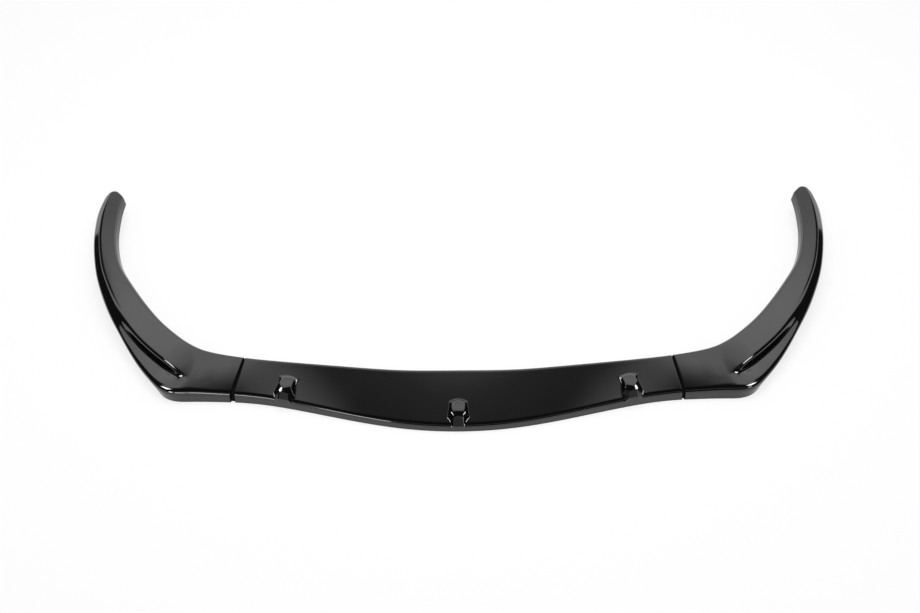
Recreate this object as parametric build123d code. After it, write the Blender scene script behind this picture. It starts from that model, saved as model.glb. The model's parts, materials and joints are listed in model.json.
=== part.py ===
"""Front splitter lip of a car in gloss black ABS: a centre moulding and two mirrored side mouldings.

X runs across the car, Y to the rear and Z up, in millimetres. The origin lies on the ground in the middle
of the lip. Every moulding is a thin wall, open underneath, lofted through upright cross-sections.
A cross-section runs from the rear edge, over the deck, to the front or outer face.
"""
import os
from dataclasses import astuple, dataclass
from math import atan2, ceil, cos, degrees, hypot, radians, sin

import numpy as np
from build123d import *

# Overall depth, wall and heights
DEPTH = 672.0
WALL = 3.0
TOP = 54.0
LEDGE = 32.0
FLANGE_DEPTH = 18.0
FLANGE_LEAN = 5.0
FACE_LEAN = 1.5

# How far an added form runs into the wall that carries it, and how deep a cut below the skin is sure to open
SINK = 1.5
OPEN_CUT = 15.0

# Roundings, as the length that each one takes from the straight on either side: the most of a straight that
# one may take, the least of it kept on the inner skin and the share of the wall that alters a shallow one
REAR_ROUND = 6.0
RIDGE_ROUND = 4.0
STEP_ROUND = 4.5
CENTRE_BROW_ROUND = 5.0
SIDE_BROW_ROUND = 8.0
SIDE_BROW_FROM = 520.0
MOST_OF_STRAIGHT = 0.45
LEAST_INSIDE = 1 / 3
SHALLOW_BEND = 0.5

# Share of the arm's outer bevel at which the ledge's inner edge lies where the ledge has died out
STEP_END = 0.4

# Tip of the arm in plan: how far across its round point lies, its radius and the slants on either side
TIP_ACROSS = 803.0
TIP_R = 13.0
TIP_SLANT_INNER = 49.0
TIP_SLANT_OUTER = 41.0

# Spacing of the cross-sections along each moulding
SIDE_PITCH = 18.0
CENTRE_PITCH = 30.0

# Seam between the centre and a side moulding: its rear end in plan, its turn and the gaps left there
SEAM_REAR = (440.0, 155.5)
SEAM_TURN = 14.0
SEAM_GAP_REAR = 2.5
SEAM_GAP_FRONT_LEFT = 8.0
SEAM_GAP_FRONT_RIGHT = 4.0

# Joining tongue of a side moulding: it and its root line the wall but for a share of the flange and the face
TONGUE_THICK = 4.0
TONGUE_REACH = 30.0
TONGUE_ROOT = 20.0
TONGUE_TRIM = 0.3
ROOT_TRIM = 0.4
TONGUE_CLEARANCE = 0.3

# Screws through each tongue into spigots under the centre deck
SCREW_SETBACK = 15.0
SCREW_PITCH = 24.0
SCREW_SHANK_D = 4.2
SCREW_LENGTH = 5.5
SCREW_TIP = 1.2
SCREW_TIP_D = 2.1
SCREW_WASHER_D = 11.0
SCREW_WASHER_H = 1.0
SCREW_HEAD_D = 8.0
SCREW_HEAD_H = 2.6
SCREW_HEAD_ROUND = 1.2
SEAT_CLEARANCE = 0.04
RECESS_LENGTH = 4.4
RECESS_WIDTH = 1.1
RECESS_DEPTH = 1.4
PILOT_CLEARANCE = 0.05
PILOT_SPARE = 0.4
SPIGOT_D = 8.4
SPIGOT_CLEARANCE = 0.4
SPIGOT_SHORT = 0.2

# Fixing bosses on the centre deck: where their cross-section meets the rear edge and how far down the deck
BOSS_MIDDLE = (0.0, 81.5)
BOSS_OUTER = (346.0, 47.5)
BOSS_OUTER_TURN = 12.0
BOSS_RISE = 9.7
BOSS_TOP_R = 13.5
BOSS_FOOT_R = 21.0
BOSS_SIDE_RUN = 15.0
BOSS_FRONT_RUN = 29.0
BOSS_FRONT_HALF = 10.0
BOSS_TOP_ROUND = 2.0
BOSS_TOP_TURNS = (30.0, 62.0)
BOSS_HOLLOW_SINK = 6.0


@dataclass
class Station:
    """One cross-section. Plan points are across the car and back from the foremost edge.

    rear_x, rear_y: rear top edge; foot_x, foot_y: bottom of the front or outer face;
    brow: height of the edge over that face; ridge, step: how far from the rear edge the arm's deck ends
    and the ledge starts; level: 0 on the sloping deck to 1 where the arm's deck is level;
    fade: 0 on the full ledge to 1 where it has died out in the bevel; lift: height of the bottom edge;
    over: how far the brow stands out over the bottom edge.
    """

    rear_x: float
    rear_y: float
    foot_x: float
    foot_y: float
    brow: float
    ridge: float = 48.0
    step: float = 55.0
    level: float = 0.0
    fade: float = 0.0
    lift: float = 0.0
    over: float = -FACE_LEAN


# The right half of the lip, from the middle out to where the arm is cut off at its tip
STATIONS = [
    Station(0, 118, 0, 0, 17),
    Station(115, 119.5, 115, 8.5, 17.5),
    Station(225, 129.5, 229, 32, 19),
    Station(325, 140.5, 333, 58, 21),
    Station(400, 149.5, 411, 73.5, 22.5),
    Station(440, 155.5, 458, 78.5, 24, 50, 57),
    Station(490, 165.5, 511, 80.5, 27, 56, 63),
    Station(520, 174, 552, 81, 29.5, 63, 69),
    Station(538, 181.5, 582, 82.5, 31, 67, 72.5, 0.1),
    Station(555, 191.5, 607, 93.5, LEDGE, 66.5, 71.5, 0.65, 0, 0, 0.5),
    Station(575, 206, 631, 122, LEDGE, 65, 70, 1, 0, 0, 4),
    Station(600, 228, 657, 158, LEDGE, 63.5, 68.5, 1, 0, 0, 7),
    Station(628, 256, 686, 201, 33, 62, 66.5, 1, 0.1, 0, 8),
    Station(658, 292, 715, 246, 38, 59.5, 64, 1, 0.6, 0, 8),
    Station(690, 336, 745, 295, 42.5, 55.5, 60, 1, 1, 0, 6.5),
    Station(720, 381, 774, 351, 44, 48, 52, 1, 1, 0, 3.5),
    Station(746, 425, 798, 405, 45.5, 41, 45, 1, 1, 0, 0),
    Station(764, 474, 818, 464, 46, 37.5, 42, 1, 1, 0, -4),
    Station(775, 525, 832.5, 520, 46.5, 37, 41, 1, 1, 1, -8),
    Station(780, 575, 841, 575, 47, 37, 41, 1, 1, 7, -12),
    Station(781, 615, 841, 626, 47.5, 37, 41, 1, 1, 21, -13.5),
    Station(779, 652, 828, 678, 48, 37, 41, 1, 1, 34, -9.5),
    Station(778, 674, 820, 709, 47.5, 37, 41, 1, 1, 39, -5.5),
]
SEAM_STATION = STATIONS[5]
SIDE_STATIONS = STATIONS[5:]
HALF_CENTRE_STATIONS = STATIONS[:7]

BLOCK = 2 * DEPTH


# Cross-sections

def mirrored(station):
    """The same cross-section on the left half of the lip."""
    return Station(-station.rear_x, station.rear_y, -station.foot_x, *astuple(station)[3:])


def centre_stations():
    """The cross-sections of the centre moulding, from left to right."""
    return [mirrored(s) for s in HALF_CENTRE_STATIONS[:0:-1]] + HALF_CENTRE_STATIONS


def spline_rows(knots, rows, wanted):
    """The rows at the wanted places of the smooth curve through all rows, with no bend at its two ends."""
    gaps = np.diff(knots)
    count = len(knots)
    inner = np.arange(1, count - 1)
    system = np.eye(count)
    system[inner, inner - 1] = gaps[:-1]
    system[inner, inner] = 2 * (gaps[:-1] + gaps[1:])
    system[inner, inner + 1] = gaps[1:]
    bends = np.zeros_like(rows)
    bends[1:-1] = 6 * np.diff(np.diff(rows, axis=0) / gaps[:, None], axis=0)
    bends = np.linalg.solve(system, bends)
    k = np.clip(np.searchsorted(knots, wanted, side="right") - 1, 0, count - 2)
    gap = gaps[k, None]
    past = (wanted - knots[k])[:, None]
    ahead = gap - past
    curve = (bends[k] * ahead**3 + bends[k + 1] * past**3) / (6 * gap)
    start = (rows[k] / gap - bends[k] * gap / 6) * ahead
    return curve + start + (rows[k + 1] / gap - bends[k + 1] * gap / 6) * past


def along(stations, pitch):
    """Evenly spaced cross-sections of the smooth moulding that passes through the given ones."""
    rows = np.array([astuple(s) for s in stations], float)
    rear_steps = np.hypot(*np.diff(rows[:, 0:2], axis=0).T)
    foot_steps = np.hypot(*np.diff(rows[:, 2:4], axis=0).T)
    knots = np.concatenate([[0.0], np.cumsum((rear_steps + foot_steps) / 2)])
    wanted = np.linspace(0.0, knots[-1], ceil(knots[-1] / pitch) + 1)
    return [tidied(row) for row in spline_rows(knots, rows, wanted)]


def station_at(across):
    """The cross-section of the centre moulding whose rear edge lies this far across."""
    rows = np.array([astuple(s) for s in centre_stations()], float)
    return tidied(spline_rows(rows[:, 0], rows, np.array([across]))[0])


def tidied(row):
    """A cross-section from a row of numbers, with its shares and its lift kept to their real range."""
    station = Station(*(float(value) for value in row))
    station.level = min(max(station.level, 0.0), 1.0)
    station.fade = min(max(station.fade, 0.0), 1.0)
    station.lift = max(station.lift, 0.0)
    return station


def between(a, b, share):
    """The point a given share of the way from a to b."""
    return (a[0] + share * (b[0] - a[0]), a[1] + share * (b[1] - a[1]))


def span(station):
    """Plan distance from the rear edge to the bottom of the front or outer face."""
    return hypot(station.foot_x - station.rear_x, station.foot_y - station.rear_y)


def fall(station):
    """Slope of the straight deck from the rear edge to the brow."""
    return (TOP - station.brow) / (span(station) + station.over)


def heading(station):
    """Plan direction of a cross-section, from the rear edge to the front."""
    width = span(station)
    return ((station.foot_x - station.rear_x) / width, (station.foot_y - station.rear_y) / width)


def placed(station, distance, height):
    """A cross-section's point in the lip's own frame."""
    way = heading(station)
    back = station.rear_y + distance * way[1] - DEPTH / 2
    return Vector(station.rear_x + distance * way[0], back, height)


def corners(station, stepped):
    """The skin's corners in a cross-section, as (distance from the rear edge, height), rear to front."""
    width = span(station)
    flange = (-FLANGE_LEAN, TOP - FLANGE_DEPTH)
    rear = (0.0, TOP)
    brow = (width + station.over, station.brow)
    foot = (width, station.lift)
    if not stepped:
        return [flange, rear, brow, foot]
    ridge_drop = fall(station) * station.ridge
    step_height = TOP - fall(station) * station.step
    ridge = (station.ridge, TOP - ridge_drop * (1 - station.level))
    step = (station.step, step_height + station.level * (LEDGE - step_height))
    step = between(step, between(ridge, brow, STEP_END), station.fade)
    return [flange, rear, ridge, step, brow, foot]


def inset(points, depth):
    """The corners moved square to the skin, into the moulding."""
    sides = []
    for a, b in zip(points, points[1:]):
        length = hypot(b[0] - a[0], b[1] - a[1])
        sides.append(((b[1] - a[1]) / length, (a[0] - b[0]) / length))
    moved = [(points[0][0] + depth * sides[0][0], points[0][1] + depth * sides[0][1])]
    for point, m, n in zip(points[1:-1], sides, sides[1:]):
        share = depth / (1 + m[0] * n[0] + m[1] * n[1])
        moved.append((point[0] + share * (m[0] + n[0]), point[1] + share * (m[1] + n[1])))
    moved.append((points[-1][0] + depth / sides[-1][0], points[-1][1]))
    return moved


def roundings(station, depth, stepped):
    """The rounding at each corner of a skin that lies this deep: less outside a bend, more inside."""
    share = (station.rear_x - SEAM_REAR[0]) / (SIDE_BROW_FROM - SEAM_REAR[0])
    brow = CENTRE_BROW_ROUND + (SIDE_BROW_ROUND - CENTRE_BROW_ROUND) * min(max(share, 0.0), 1.0)
    outer = [REAR_ROUND, brow]
    change = [-depth, -depth]
    if stepped:
        outer = [REAR_ROUND, RIDGE_ROUND, STEP_ROUND, brow]
        change = [-depth, -depth * SHALLOW_BEND, depth * SHALLOW_BEND, -depth]
    return [max(size + more, size * LEAST_INSIDE) for size, more in zip(outer, change)]


def skin_edges(station, depth, stepped, trim, to_rear=False):
    """The skin's line in a cross-section: straights joined by curves that touch both.

    The trim is the share of the first and the last straight that is left off.
    """
    points = inset(corners(station, stepped), depth)
    points[0] = between(points[0], points[1], trim)
    points[-1] = between(points[-1], points[-2], trim)
    places = [placed(station, *point) for point in points]
    sizes = roundings(station, depth, stepped)
    if to_rear:
        places.reverse()
        sizes.reverse()
    edges = []
    start = places[0]
    for before, corner, after, size in zip(places, places[1:], places[2:], sizes):
        back, onward = before - corner, after - corner
        enter = corner + back.normalized() * min(size, back.length * MOST_OF_STRAIGHT)
        leave = corner + onward.normalized() * min(size, onward.length * MOST_OF_STRAIGHT)
        edges.append(Edge.make_line(start, enter))
        edges.append(Edge.make_bezier(enter, corner, leave))
        start = leave
    edges.append(Edge.make_line(start, places[-1]))
    return edges


def wall_section(station, stepped, upper=0.0, lower=WALL, trim=0.0):
    """The closed outline of the thin wall, or of a strip between two depths in it, in a cross-section."""
    outer = skin_edges(station, upper, stepped, trim)
    inner = skin_edges(station, lower, stepped, trim, to_rear=True)
    front_rim = Edge.make_line(outer[-1] @ 1, inner[0] @ 0)
    rear_rim = Edge.make_line(inner[-1] @ 1, outer[0] @ 0)
    return Wire(outer + [front_rim] + inner + [rear_rim])


# Seams

def outboard_of(offset_rear, offset_front):
    """A block that holds all that lies outboard of the seam line, moved outboard at its two ends."""
    turn = SEAM_TURN + degrees(atan2(offset_front - offset_rear, span(SEAM_STATION)))
    outward = Vector(cos(radians(turn)), sin(radians(turn)), 0)
    first = Vector(cos(radians(SEAM_TURN)), sin(radians(SEAM_TURN)), 0) * offset_rear
    origin = Vector(SEAM_REAR[0], SEAM_REAR[1] - DEPTH / 2, 0) + first
    block = Box(BLOCK, 2 * BLOCK, BLOCK, align=(Align.MIN, Align.CENTER, Align.CENTER))
    return Plane(origin, x_dir=outward, z_dir=(0, 0, 1)) * block


def lining(upper, lower, trim):
    """A strip along the centre moulding's wall on both sides of the right seam, between two depths."""
    inboard_end = SEAM_REAR[0] - 2 * TONGUE_REACH
    stations = [s for s in along(centre_stations(), SIDE_PITCH) if s.rear_x > inboard_end]
    return Solid.make_loft([wall_section(s, False, upper, lower, trim) for s in stations])


def tongue(gap_front):
    """The joining tongue and the root that ties it to the inside of its own moulding's wall."""
    under = WALL + TONGUE_CLEARANCE
    plate = lining(under, under + TONGUE_THICK, TONGUE_TRIM) & outboard_of(-TONGUE_REACH, -TONGUE_REACH)
    root = lining(WALL - SINK, under + TONGUE_THICK / 2, ROOT_TRIM) & outboard_of(SEAM_GAP_REAR, gap_front)
    return (plate + root) - outboard_of(TONGUE_ROOT, TONGUE_ROOT)


def on_deck(station, distance):
    """The point of the straight deck's skin this far from the rear edge."""
    return placed(station, distance, TOP - fall(station) * distance)


def screw_planes():
    """Frames of the screws of the right seam: on the deck's skin, looking square out of it."""
    across = SEAM_REAR[0] - SCREW_SETBACK
    station = station_at(across)
    inboard, outboard = station_at(across - SCREW_WASHER_D / 2), station_at(across + SCREW_WASHER_D / 2)
    middle = span(station) / 2
    frames = []
    for distance in (middle - SCREW_PITCH / 2, middle + SCREW_PITCH / 2):
        outward = on_deck(outboard, distance) - on_deck(inboard, distance)
        rearward = on_deck(station, 0.0) - on_deck(station, distance)
        frames.append(Plane(on_deck(station, distance), x_dir=outward, z_dir=outward.cross(rearward)))
    return frames


def pin(diameter, upper, lower):
    """A round bar along a screw's axis between two depths below the skin."""
    bar = Cylinder(diameter / 2, lower - upper, align=(Align.CENTER, Align.CENTER, Align.MAX))
    return Pos(0, 0, -upper) * bar


def seat_depth():
    """Depth below the skin at which a screw head seats on the tongue."""
    return WALL + TONGUE_CLEARANCE + TONGUE_THICK + SEAT_CLEARANCE


def screw():
    """A washer-head tapping screw, head down, seated at the tongue's underside."""
    shank_r, washer_r, head_r = SCREW_SHANK_D / 2, SCREW_WASHER_D / 2, SCREW_HEAD_D / 2
    outline = Polyline(
        (0, SCREW_LENGTH),
        (SCREW_TIP_D / 2, SCREW_LENGTH),
        (shank_r, SCREW_LENGTH - SCREW_TIP),
        (shank_r, 0),
        (washer_r, 0),
        (washer_r, -SCREW_WASHER_H),
        (head_r, -SCREW_WASHER_H),
        (head_r, SCREW_HEAD_ROUND - SCREW_HEAD_H),
        (head_r - SCREW_HEAD_ROUND, -SCREW_HEAD_H),
        (0, -SCREW_HEAD_H),
        close=True,
    )
    body = revolve(Plane.XZ * make_face(outline), Axis.Z)
    slot = Box(RECESS_LENGTH, RECESS_WIDTH, RECESS_DEPTH, align=(Align.CENTER, Align.CENTER, Align.MIN))
    cross = Pos(0, 0, -SCREW_HEAD_H) * (slot + Rot(0, 0, 90) * slot)
    return Pos(0, 0, -seat_depth()) * (body - cross)


# Bosses

def boss(place, turn, thinner, sink):
    """A fixing boss: a U-shaped foot on the deck that closes up to a level round top."""
    station = station_at(place[0])
    way, slope = heading(station), fall(station)
    middle = on_deck(station, place[1])
    forward = (sin(radians(turn)), -cos(radians(turn)))
    foot_r = BOSS_FOOT_R - thinner
    top_r = BOSS_TOP_R - thinner
    front_half = BOSS_FRONT_HALF - thinner / 2

    def beside(right, ahead):
        return (ahead * forward[0] - right * forward[1], ahead * forward[1] + right * forward[0])

    def on_foot(right, ahead):
        x, y = beside(right, ahead)
        return middle + Vector(x, y, -slope * (x * way[0] + y * way[1]) - sink)

    def on_top(angle):
        x, y = beside(top_r * cos(radians(angle)), top_r * sin(radians(angle)))
        return middle + Vector(x, y, BOSS_RISE - thinner)

    outline = [(foot_r, 0), (foot_r, BOSS_SIDE_RUN), (front_half, BOSS_FRONT_RUN - thinner)]
    outline += [(-right, ahead) for right, ahead in reversed(outline)]
    foot = [on_foot(*point) for point in outline]
    foot_edges = [Edge.make_three_point_arc(foot[-1], on_foot(0, -foot_r), foot[0])]
    foot_edges += [Edge.make_line(a, b) for a, b in zip(foot, foot[1:])]
    turns = [0.0, *BOSS_TOP_TURNS]
    turns += [180.0 - angle for angle in reversed(turns)]
    top_edges = [Edge.make_three_point_arc(on_top(180), on_top(270), on_top(0))]
    for a, b in zip(turns, turns[1:]):
        top_edges.append(Edge.make_three_point_arc(on_top(a), on_top((a + b) / 2), on_top(b)))
    return Solid.make_loft([Wire(foot_edges), Wire(top_edges)], ruled=True)


def bosses(thinner, sink):
    """The three bosses, or what hollows them from below."""
    return [
        boss((-BOSS_OUTER[0], BOSS_OUTER[1]), -BOSS_OUTER_TURN, thinner, sink),
        boss(BOSS_MIDDLE, 0.0, thinner, sink),
        boss(BOSS_OUTER, BOSS_OUTER_TURN, thinner, sink),
    ]


# Mouldings

def tip_trim():
    """The block that keeps an arm up to its tip: two slants with a round point between them."""
    inner, outer = radians(TIP_SLANT_INNER), radians(TIP_SLANT_OUTER)
    middle = Vector(TIP_ACROSS, DEPTH / 2 - TIP_R, 0)
    start = middle + Vector(-sin(inner), cos(inner), 0) * TIP_R
    end = middle + Vector(sin(outer), cos(outer), 0) * TIP_R
    inner_end = start - Vector(cos(inner), sin(inner), 0) * BLOCK
    outer_end = end + Vector(cos(outer), -sin(outer), 0) * BLOCK
    plan = make_face(Polyline(start, inner_end, outer_end, end, close=True)) + Pos(middle) * Circle(TIP_R)
    return extrude(plan, amount=DEPTH, both=True)


def side_section(gap_front):
    """The right side moulding, with its seam end trimmed and its tongue."""
    wall = Solid.make_loft([wall_section(s, True) for s in along(SIDE_STATIONS, SIDE_PITCH)])
    moulding = (wall & tip_trim() & outboard_of(SEAM_GAP_REAR, gap_front)) + tongue(gap_front)
    for frame in screw_planes():
        moulding -= frame * pin(SPIGOT_D + 2 * SPIGOT_CLEARANCE, 0, OPEN_CUT)
    return moulding


def centre_section():
    """The centre moulding: sloping deck, bosses hollow from below and spigots for the screws."""
    sections = along(centre_stations(), CENTRE_PITCH)
    moulding = Solid.make_loft([wall_section(s, False) for s in sections])
    for block in bosses(0.0, SINK):
        crown = block.faces().sort_by(Axis.Z)[-1]
        moulding += block.fillet(BOSS_TOP_ROUND, crown.edges())
    for hollow in bosses(WALL, BOSS_HOLLOW_SINK):
        moulding -= hollow
    cut = outboard_of(0.0, 0.0)
    moulding = moulding - cut - cut.mirror(Plane.YZ)
    pilot_end = seat_depth() - SCREW_LENGTH - PILOT_SPARE
    for frame in screw_planes():
        spigot = frame * pin(SPIGOT_D, SINK, seat_depth() - SPIGOT_SHORT)
        pilot = frame * pin(SCREW_SHANK_D + 2 * PILOT_CLEARANCE, pilot_end, OPEN_CUT)
        moulding = moulding + spigot + spigot.mirror(Plane.YZ) - pilot - pilot.mirror(Plane.YZ)
    return moulding


def seam_screws():
    """All screws of both seams."""
    right = [frame * screw() for frame in screw_planes()]
    return Compound(children=right + [one.mirror(Plane.YZ) for one in right])


def main():
    os.makedirs("parts", exist_ok=True)
    pieces = {
        "centre_section": centre_section(),
        "left_side_section": side_section(SEAM_GAP_FRONT_LEFT).mirror(Plane.YZ),
        "right_side_section": side_section(SEAM_GAP_FRONT_RIGHT),
        "seam_screws": seam_screws(),
    }
    for node, piece in pieces.items():
        export_step(piece, f"parts/{node}.step")


main()
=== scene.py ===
"""Front splitter lip of a car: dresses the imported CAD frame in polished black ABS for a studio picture."""
import json
from math import cos, pi, radians, sin

import bpy
import numpy as np
from mathutils import Matrix, Vector


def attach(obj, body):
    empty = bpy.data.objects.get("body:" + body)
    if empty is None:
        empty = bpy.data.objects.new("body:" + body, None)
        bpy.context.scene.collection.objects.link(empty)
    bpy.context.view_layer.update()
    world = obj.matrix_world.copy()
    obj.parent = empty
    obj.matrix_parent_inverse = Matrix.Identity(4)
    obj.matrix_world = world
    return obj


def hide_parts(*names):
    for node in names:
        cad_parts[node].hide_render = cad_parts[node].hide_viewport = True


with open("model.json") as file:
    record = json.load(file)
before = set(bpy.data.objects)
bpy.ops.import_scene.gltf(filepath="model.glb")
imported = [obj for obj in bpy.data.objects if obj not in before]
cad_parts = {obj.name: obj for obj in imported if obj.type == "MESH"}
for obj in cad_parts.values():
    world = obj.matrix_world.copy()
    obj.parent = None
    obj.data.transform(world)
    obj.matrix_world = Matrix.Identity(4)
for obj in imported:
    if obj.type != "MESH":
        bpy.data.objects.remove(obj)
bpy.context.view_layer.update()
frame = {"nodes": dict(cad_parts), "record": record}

bl_info = {
    "name": "Front splitter lip",
    "version": (1, 0, 0),
    "blender": (4, 5, 0),
    "location": "3D View > Sidebar > Front lip",
    "description": "Builds the mouldings of a front splitter lip over its CAD frame, with a studio stage",
    "category": "Object",
}

MM = 0.001

# The right half of the lip, from the middle out to where the arm is cut off at its tip, in millimetres.
# Columns: rear edge across and back, foot across and back, brow height, ridge and step distance from the
# rear edge, level and fade shares, lift of the bottom edge, and how far the brow stands out over that edge.
REAR_X, REAR_Y, FOOT_X, FOOT_Y, BROW, RIDGE, STEP, LEVEL, FADE, LIFT, OVER = range(11)
TABLE = np.array([
    (0, 118, 0, 0, 17, 48, 55, 0, 0, 0, -1.5),
    (115, 119.5, 115, 8.5, 17.5, 48, 55, 0, 0, 0, -1.5),
    (225, 129.5, 229, 32, 19, 48, 55, 0, 0, 0, -1.5),
    (325, 140.5, 333, 58, 21, 48, 55, 0, 0, 0, -1.5),
    (400, 149.5, 411, 73.5, 22.5, 48, 55, 0, 0, 0, -1.5),
    (440, 155.5, 458, 78.5, 24, 50, 57, 0, 0, 0, -1.5),
    (490, 165.5, 511, 80.5, 27, 56, 63, 0, 0, 0, -1.5),
    (520, 174, 552, 81, 29.5, 63, 69, 0, 0, 0, -1.5),
    (538, 181.5, 582, 82.5, 31, 67, 72.5, 0.1, 0, 0, 0.5),
    (555, 191.5, 607, 93.5, 32, 66.5, 71.5, 0.65, 0, 0, 4),
    (575, 206, 631, 122, 32, 65, 70, 1, 0, 0, 10),
    (600, 228, 657, 158, 32, 63.5, 68.5, 1, 0, 0, 13),
    (628, 256, 686, 201, 33, 62, 66.5, 1, 0.1, 0, 12),
    (658, 292, 715, 246, 38, 59.5, 64, 1, 0.6, 0, 9),
    (690, 336, 745, 295, 42.5, 55.5, 60, 1, 1, 0, 6.5),
    (720, 381, 774, 351, 44, 48, 52, 1, 1, 0, 3.5),
    (746, 425, 798, 405, 45.5, 41, 45, 1, 1, 0, 0),
    (764, 474, 818, 464, 46, 37.5, 42, 1, 1, 0, -4),
    (775, 525, 832.5, 520, 46.5, 37, 41, 1, 1, 1, -8),
    (780, 575, 841, 575, 47, 37, 41, 1, 1, 7, -12),
    (781, 615, 841, 626, 47.5, 37, 41, 1, 1, 21, -13.5),
    (779, 652, 828, 678, 48, 37, 41, 1, 1, 34, -9.5),
    (778, 674, 820, 709, 47.5, 37, 41, 1, 1, 39, -5.5),
], float)
LENGTHS = [REAR_X, REAR_Y, FOOT_X, FOOT_Y, BROW, RIDGE, STEP, LIFT, OVER]
TABLE[:, LENGTHS] *= MM

# The row on which the seam lies
SEAM_ROW = 5
SEAM_REAR = TABLE[SEAM_ROW, [REAR_X, REAR_Y]]
# Where the faded step's foot ends, as a share of the bevel from the ridge to the brow
STEP_END = 0.4
# How far the arm's tip stays short of the full depth
TIP_SHORT = 0.2 * MM

# Roundings: the most that one takes of a straight, and the least of it that is left inside the wall
MOST_OF_STRAIGHT = 0.45
LEAST_INSIDE = 1 / 3
# Share of the depth in the wall by which the ridge's and the step's roundings change
SHALLOW_BEND = 0.5

# How far a boss's collar, front and bevels fall for each length of run
COLLAR_FALL = 0.6
FRONT_FALL = 1.28
BEVEL_FALL = 1.5
# Height over which the creases between them are rounded
CREASE = 1 * MM
# How deep a boss's sides run into the deck
BOSS_SUNK = 1.5 * MM
# Run of the edge of a boss's dish
DISH_EDGE = 2 * MM
# Cosines to straight ahead between which the fall at a boss's rear turns into that of its sides
REAR_COSINES = [-1, -0.6, -0.15]
# The reach at a boss's very middle, where it would be nothing and couldn't be divided by
LEAST_REACH = 1e-6

# Profile parameter at which a joining tongue starts, and the share of the profile that it lines
TONGUE_FIRST = 0.12
TONGUE_SHARE = 0.972
# Depth under the skin at which a tongue's ends are cut
TONGUE_CUT = 5 * MM

# Mesh steps on each stretch of the profile, rear to front
CENTRE_STEPS = [4, 8, 110, 10, 6]
SIDE_STEPS = [4, 8, 14, 8, 6, 8, 10, 12, 6]
TONGUE_STEPS = [6, 6, 14, 6, 6]
# Profile parameters between which the bosses rise, and the deck's middle
BOSS_FROM, BOSS_TO = 1.5, 4
DECK_MIDDLE = 2.5
# Spacing of the centre's rows, away from a boss and within reach of one
COARSE, FINE, FINE_REACH = 6 * MM, 1.1 * MM, 26 * MM
# Rows along a side, and rows in the rounding of an end
SIDE_ROWS = 260
TURN_STEPS = 6
# Length over which the rows slide to meet a slanted end
CENTRE_EASE, SIDE_EASE = 50 * MM, 120 * MM
# Angle from which an edge is sharp
SHARP_ANGLE = radians(38)
# Steps in which a place along a moulding is looked for
SEARCH_STEPS = 1200
DECK_SEARCH_STEPS = 800
GRADE_STEPS = 2000

# Names of the two ABS finishes
POLISHED = "polished_black_abs_moulded"
GRAINED = "grained_black_abs_moulded"

# Softboxes: place, target, width and height in metres, watts, and whether it shows only in the gloss
LAMPS = (
    ("overhead_softbox", (0, 0.4, 2.6), (0, 0, 0), (2.6, 1.8), 60, False),
    ("left_front_softbox", (-1.62, -1.95, 0.36), (-0.58, -0.25, 0), (0.4, 0.35), 8, True),
    ("front_softbox", (-1.05, -2.2, 0.34), (-0.5, -0.25, 0), (0.5, 0.35), 5, True),
    ("right_front_softbox", (1.7, -1.5, 0.6), (0.3, -0.25, 0), (0.3, 0.4), 3, True),
    ("left_high_softbox", (-1.88, -0.79, 1.7), (-0.58, -0.2, 0), (0.9, 0.6), 36, True),
    ("right_high_softbox", (1.88, -0.79, 1.7), (0.58, -0.2, 0), (0.9, 0.6), 36, True),
)

# Brightness of the cloths: share of the way along their axis, and level
CANOPY_FRONT = [(0.0, 0.01), (0.03, 0.01), (0.04, 0.3), (0.074, 0.3), (0.084, 0.01), (0.36, 0.02)]
CANOPY_REAR = [(0.8, 1.1), (0.835, 1.25), (0.855, 1.0), (0.88, 0.62)]
CANOPY_SIDES = CANOPY_FRONT + [(0.42, 0.7), (0.5, 1.15), (0.6, 1.05)] + CANOPY_REAR
CANOPY_MIDDLE = CANOPY_FRONT + [(0.4625, 0.1), (0.5, 0.16), (0.5125, 0.3), (0.6, 0.9)] + CANOPY_REAR
FLAG_LEVELS = [(0.0, 0.01), (1.0, 0.02)]
REAR_LEVELS = [(0.5, 0.8), (0.6, 1.1), (0.8, 1.3), (0.88, 0.8), (0.92, 0.62)]
# Light that a level of 1 gives
CLOTH_STRENGTH = 1.4
# Distances from the plane X = 0 between which the canopy's middle fades into its sides, in metres
MIDDLE_FULL, MIDDLE_GONE = 0.95, 1.55

# Canopy and rear sheet, in metres and degrees
CLOTH_HALF_WIDTH = 9
CANOPY_DEGREES = 140
REAR_SHEET_TOP = 3.4
# Side flags in metres: the foot, slant and bend of their rear edges, and the height from which those bend
FLAG_ASIDE = 2.6
FLAG_FOOT, FLAG_SLANT, FLAG_BEND, FLAG_BEND_HEIGHT = 1.5, 0.42, 0.8, 1.6
# Flat dark sheets on the right, in metres: a corner, and the two edges from it
DARK_SHEETS = (
    ("bar", (1.26, 1.3, 0.85), (0.28, 0, 0), (0, 0, 0.65)),
    ("upper_flag", (2, 0.5, 1.1), (0, 0.8, 0.78), (0, 0, 1.2)),
)

# The floor's half width in canopy radii
FLOOR_RADII = 3
# The point that the camera looks at, and the width of its sensor, in millimetres
CAMERA_TARGET = (3.6, 8.8, 0)
SENSOR_WIDTH = 36


# Properties

def length(name, description, millimetres):
    """A length property that is shown in the scene's units."""
    return bpy.props.FloatProperty(
        name=name, description=description, default=millimetres * MM, unit="LENGTH", precision=5)


def angle(name, description, degrees):
    """An angle property that is shown in degrees."""
    return bpy.props.FloatProperty(
        name=name, description=description, default=radians(degrees), unit="ROTATION")


def factor(name, description, share):
    """A property between 0 and 1."""
    return bpy.props.FloatProperty(
        name=name, description=description, default=share, min=0, max=1, subtype="FACTOR")


def colour(name, description, code):
    """A colour property that holds an sRGB hex code."""
    return bpy.props.StringProperty(name=name, description=description, default=code)


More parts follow.
